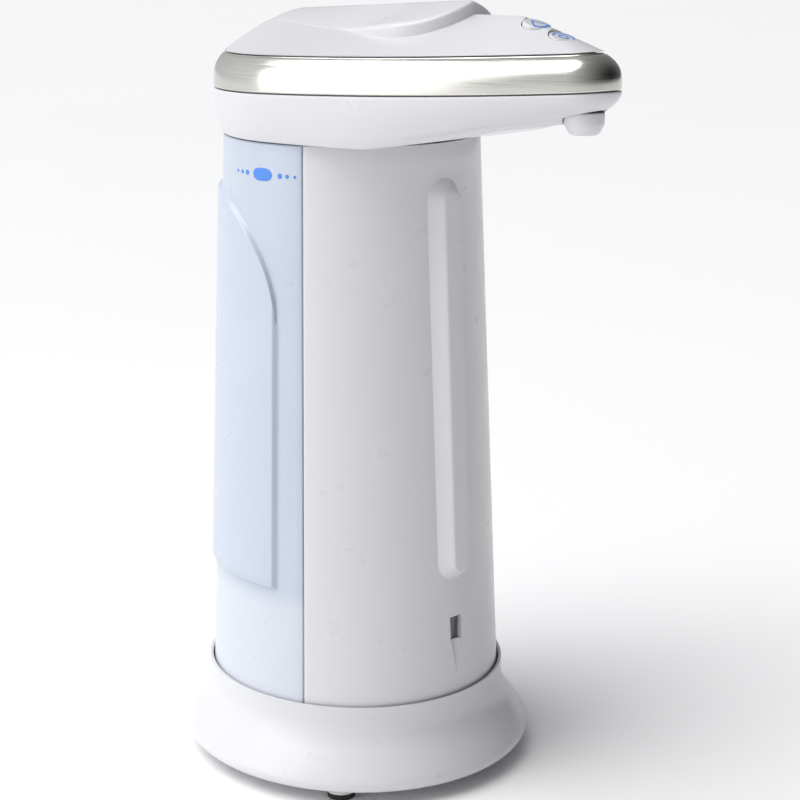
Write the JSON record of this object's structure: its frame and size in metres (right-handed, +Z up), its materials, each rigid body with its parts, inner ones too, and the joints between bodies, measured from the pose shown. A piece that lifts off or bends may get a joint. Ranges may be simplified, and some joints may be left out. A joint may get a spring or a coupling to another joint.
{
  "type": "touch-free soap dispenser",
  "caption": "Free-standing touch-free soap dispenser: tapered tank column on a round flared foot, egg-shaped head with hinged filler lid, front spout and two push keys.",
  "frame": {"origin": "middle of the object's plan box, on the surface that the foot pads stand on", "axes": "+Z up along the column, -Y from the column towards the spout, +X to the left of someone facing the spout; X = 0 is the mirror plane of the outside"},
  "size_m": [0.0872, 0.1274, 0.1905],
  "materials": {
    "white_plastic": "satin moulded plastic",
    "satin_metal": "satin bright metal-look trim",
    "tank_plastic": "translucent pale blue-grey moulded plastic",
    "black_rubber": "matt black rubber",
    "silicone": "milky silicone",
    "steel": "plated steel",
    "brass": "turned brass",
    "acetal": "natural acetal",
    "smoked_plastic": "dark infra-red window plastic",
    "board": "green lacquered circuit board",
    "cell_wrap": "shrink-wrapped battery jacket",
    "black_plastic": "black moulded plastic"
  },
  "bodies": {
    "housing": {"base_shell": "white_plastic", "base_plate": "white_plastic", "tank_seat": "white_plastic", "column_cover": "white_plastic", "head_lower_shell": "white_plastic", "head_top_shell": "white_plastic", "nozzle": "white_plastic", "filler_throat": "white_plastic", "trim_band": "satin_metal", "reservoir": "tank_plastic", "foot_pad_1": "black_rubber", "foot_pad_2": "black_rubber", "foot_pad_3": "black_rubber", "foot_pad_4": "black_rubber", "shaft_seal": "black_rubber", "tank_seal": "silicone", "inlet_tube": "silicone", "outlet_tube": "silicone", "base_screw_1": "steel", "base_screw_2": "steel", "contact_plate_front": "steel", "contact_plate_rear": "steel", "battery_spring_1": "steel", "battery_spring_2": "steel", "battery_spring_3": "steel", "battery_spring_4": "steel", "idler_pin": "steel", "motor_can": "steel", "motor_bracket": "steel", "lid_hinge_pin": "steel", "pump_housing": "acetal", "pump_cover": "acetal", "sensor_window": "smoked_plastic", "ir_emitter": "smoked_plastic", "ir_receiver": "smoked_plastic", "sensor_board": "board", "control_board": "board", "battery_1": "cell_wrap", "battery_2": "cell_wrap", "battery_3": "cell_wrap", "battery_4": "cell_wrap", "motor_end_cap": "black_plastic", "key_switch_1": "black_plastic", "key_switch_2": "black_plastic", "wire_harness": "black_plastic"},
    "lid": {"filler_lid": "white_plastic", "lid_liner": "white_plastic", "lid_seal": "silicone"},
    "door": {"battery_door": "white_plastic"},
    "power_button": {"power_key": "white_plastic"},
    "tone_button": {"tone_key": "white_plastic"},
    "drive_rotor": {"drive_shaft": "steel", "pump_drive_gear": "acetal", "reduction_wheel": "acetal"},
    "idler_rotor": {"pump_idler_gear": "acetal"},
    "motor_rotor": {"motor_pinion": "brass", "motor_shaft": "steel"}
  },
  "joints": [
    {"name": "lid_hinge", "type": "hinge", "parent": "housing", "child": "lid", "pos_m": [0, 0.03875, 0.1814], "axis": [-1, 0, 0], "range_deg": [0, 95]},
    {"name": "battery_door_hinge", "type": "hinge", "parent": "housing", "child": "door", "pos_m": [0, 0.04135, 0.00475], "axis": [1, 0, 0], "range_deg": [0, 100]},
    {"name": "power_key_press", "type": "slide", "parent": "housing", "child": "power_button", "axis": [0, 0.3119, -0.9501], "range_m": [0, 0.0008], "stiffness_N_per_m": 300},
    {"name": "tone_key_press", "type": "slide", "parent": "housing", "child": "tone_button", "axis": [0, 0.3119, -0.9501], "range_m": [0, 0.0008], "stiffness_N_per_m": 300},
    {"name": "drive_spin", "type": "hinge", "parent": "housing", "child": "drive_rotor", "pos_m": [-0.004, -0.00575, 0.065], "axis": [0, 0, 1], "continuous": true},
    {"name": "idler_spin", "type": "hinge", "parent": "housing", "child": "idler_rotor", "pos_m": [0.004, -0.00575, 0.0615], "axis": [0, 0, 1], "continuous": true},
    {"name": "motor_spin", "type": "hinge", "parent": "housing", "child": "motor_rotor", "pos_m": [0.005, -0.00575, 0.07], "axis": [0, 0, 1], "continuous": true}
  ],
  "couplings": [
    {"joint": "idler_spin", "follows": "drive_spin", "ratio": -1},
    {"joint": "motor_spin", "follows": "drive_spin", "ratio": -3}
  ]
}
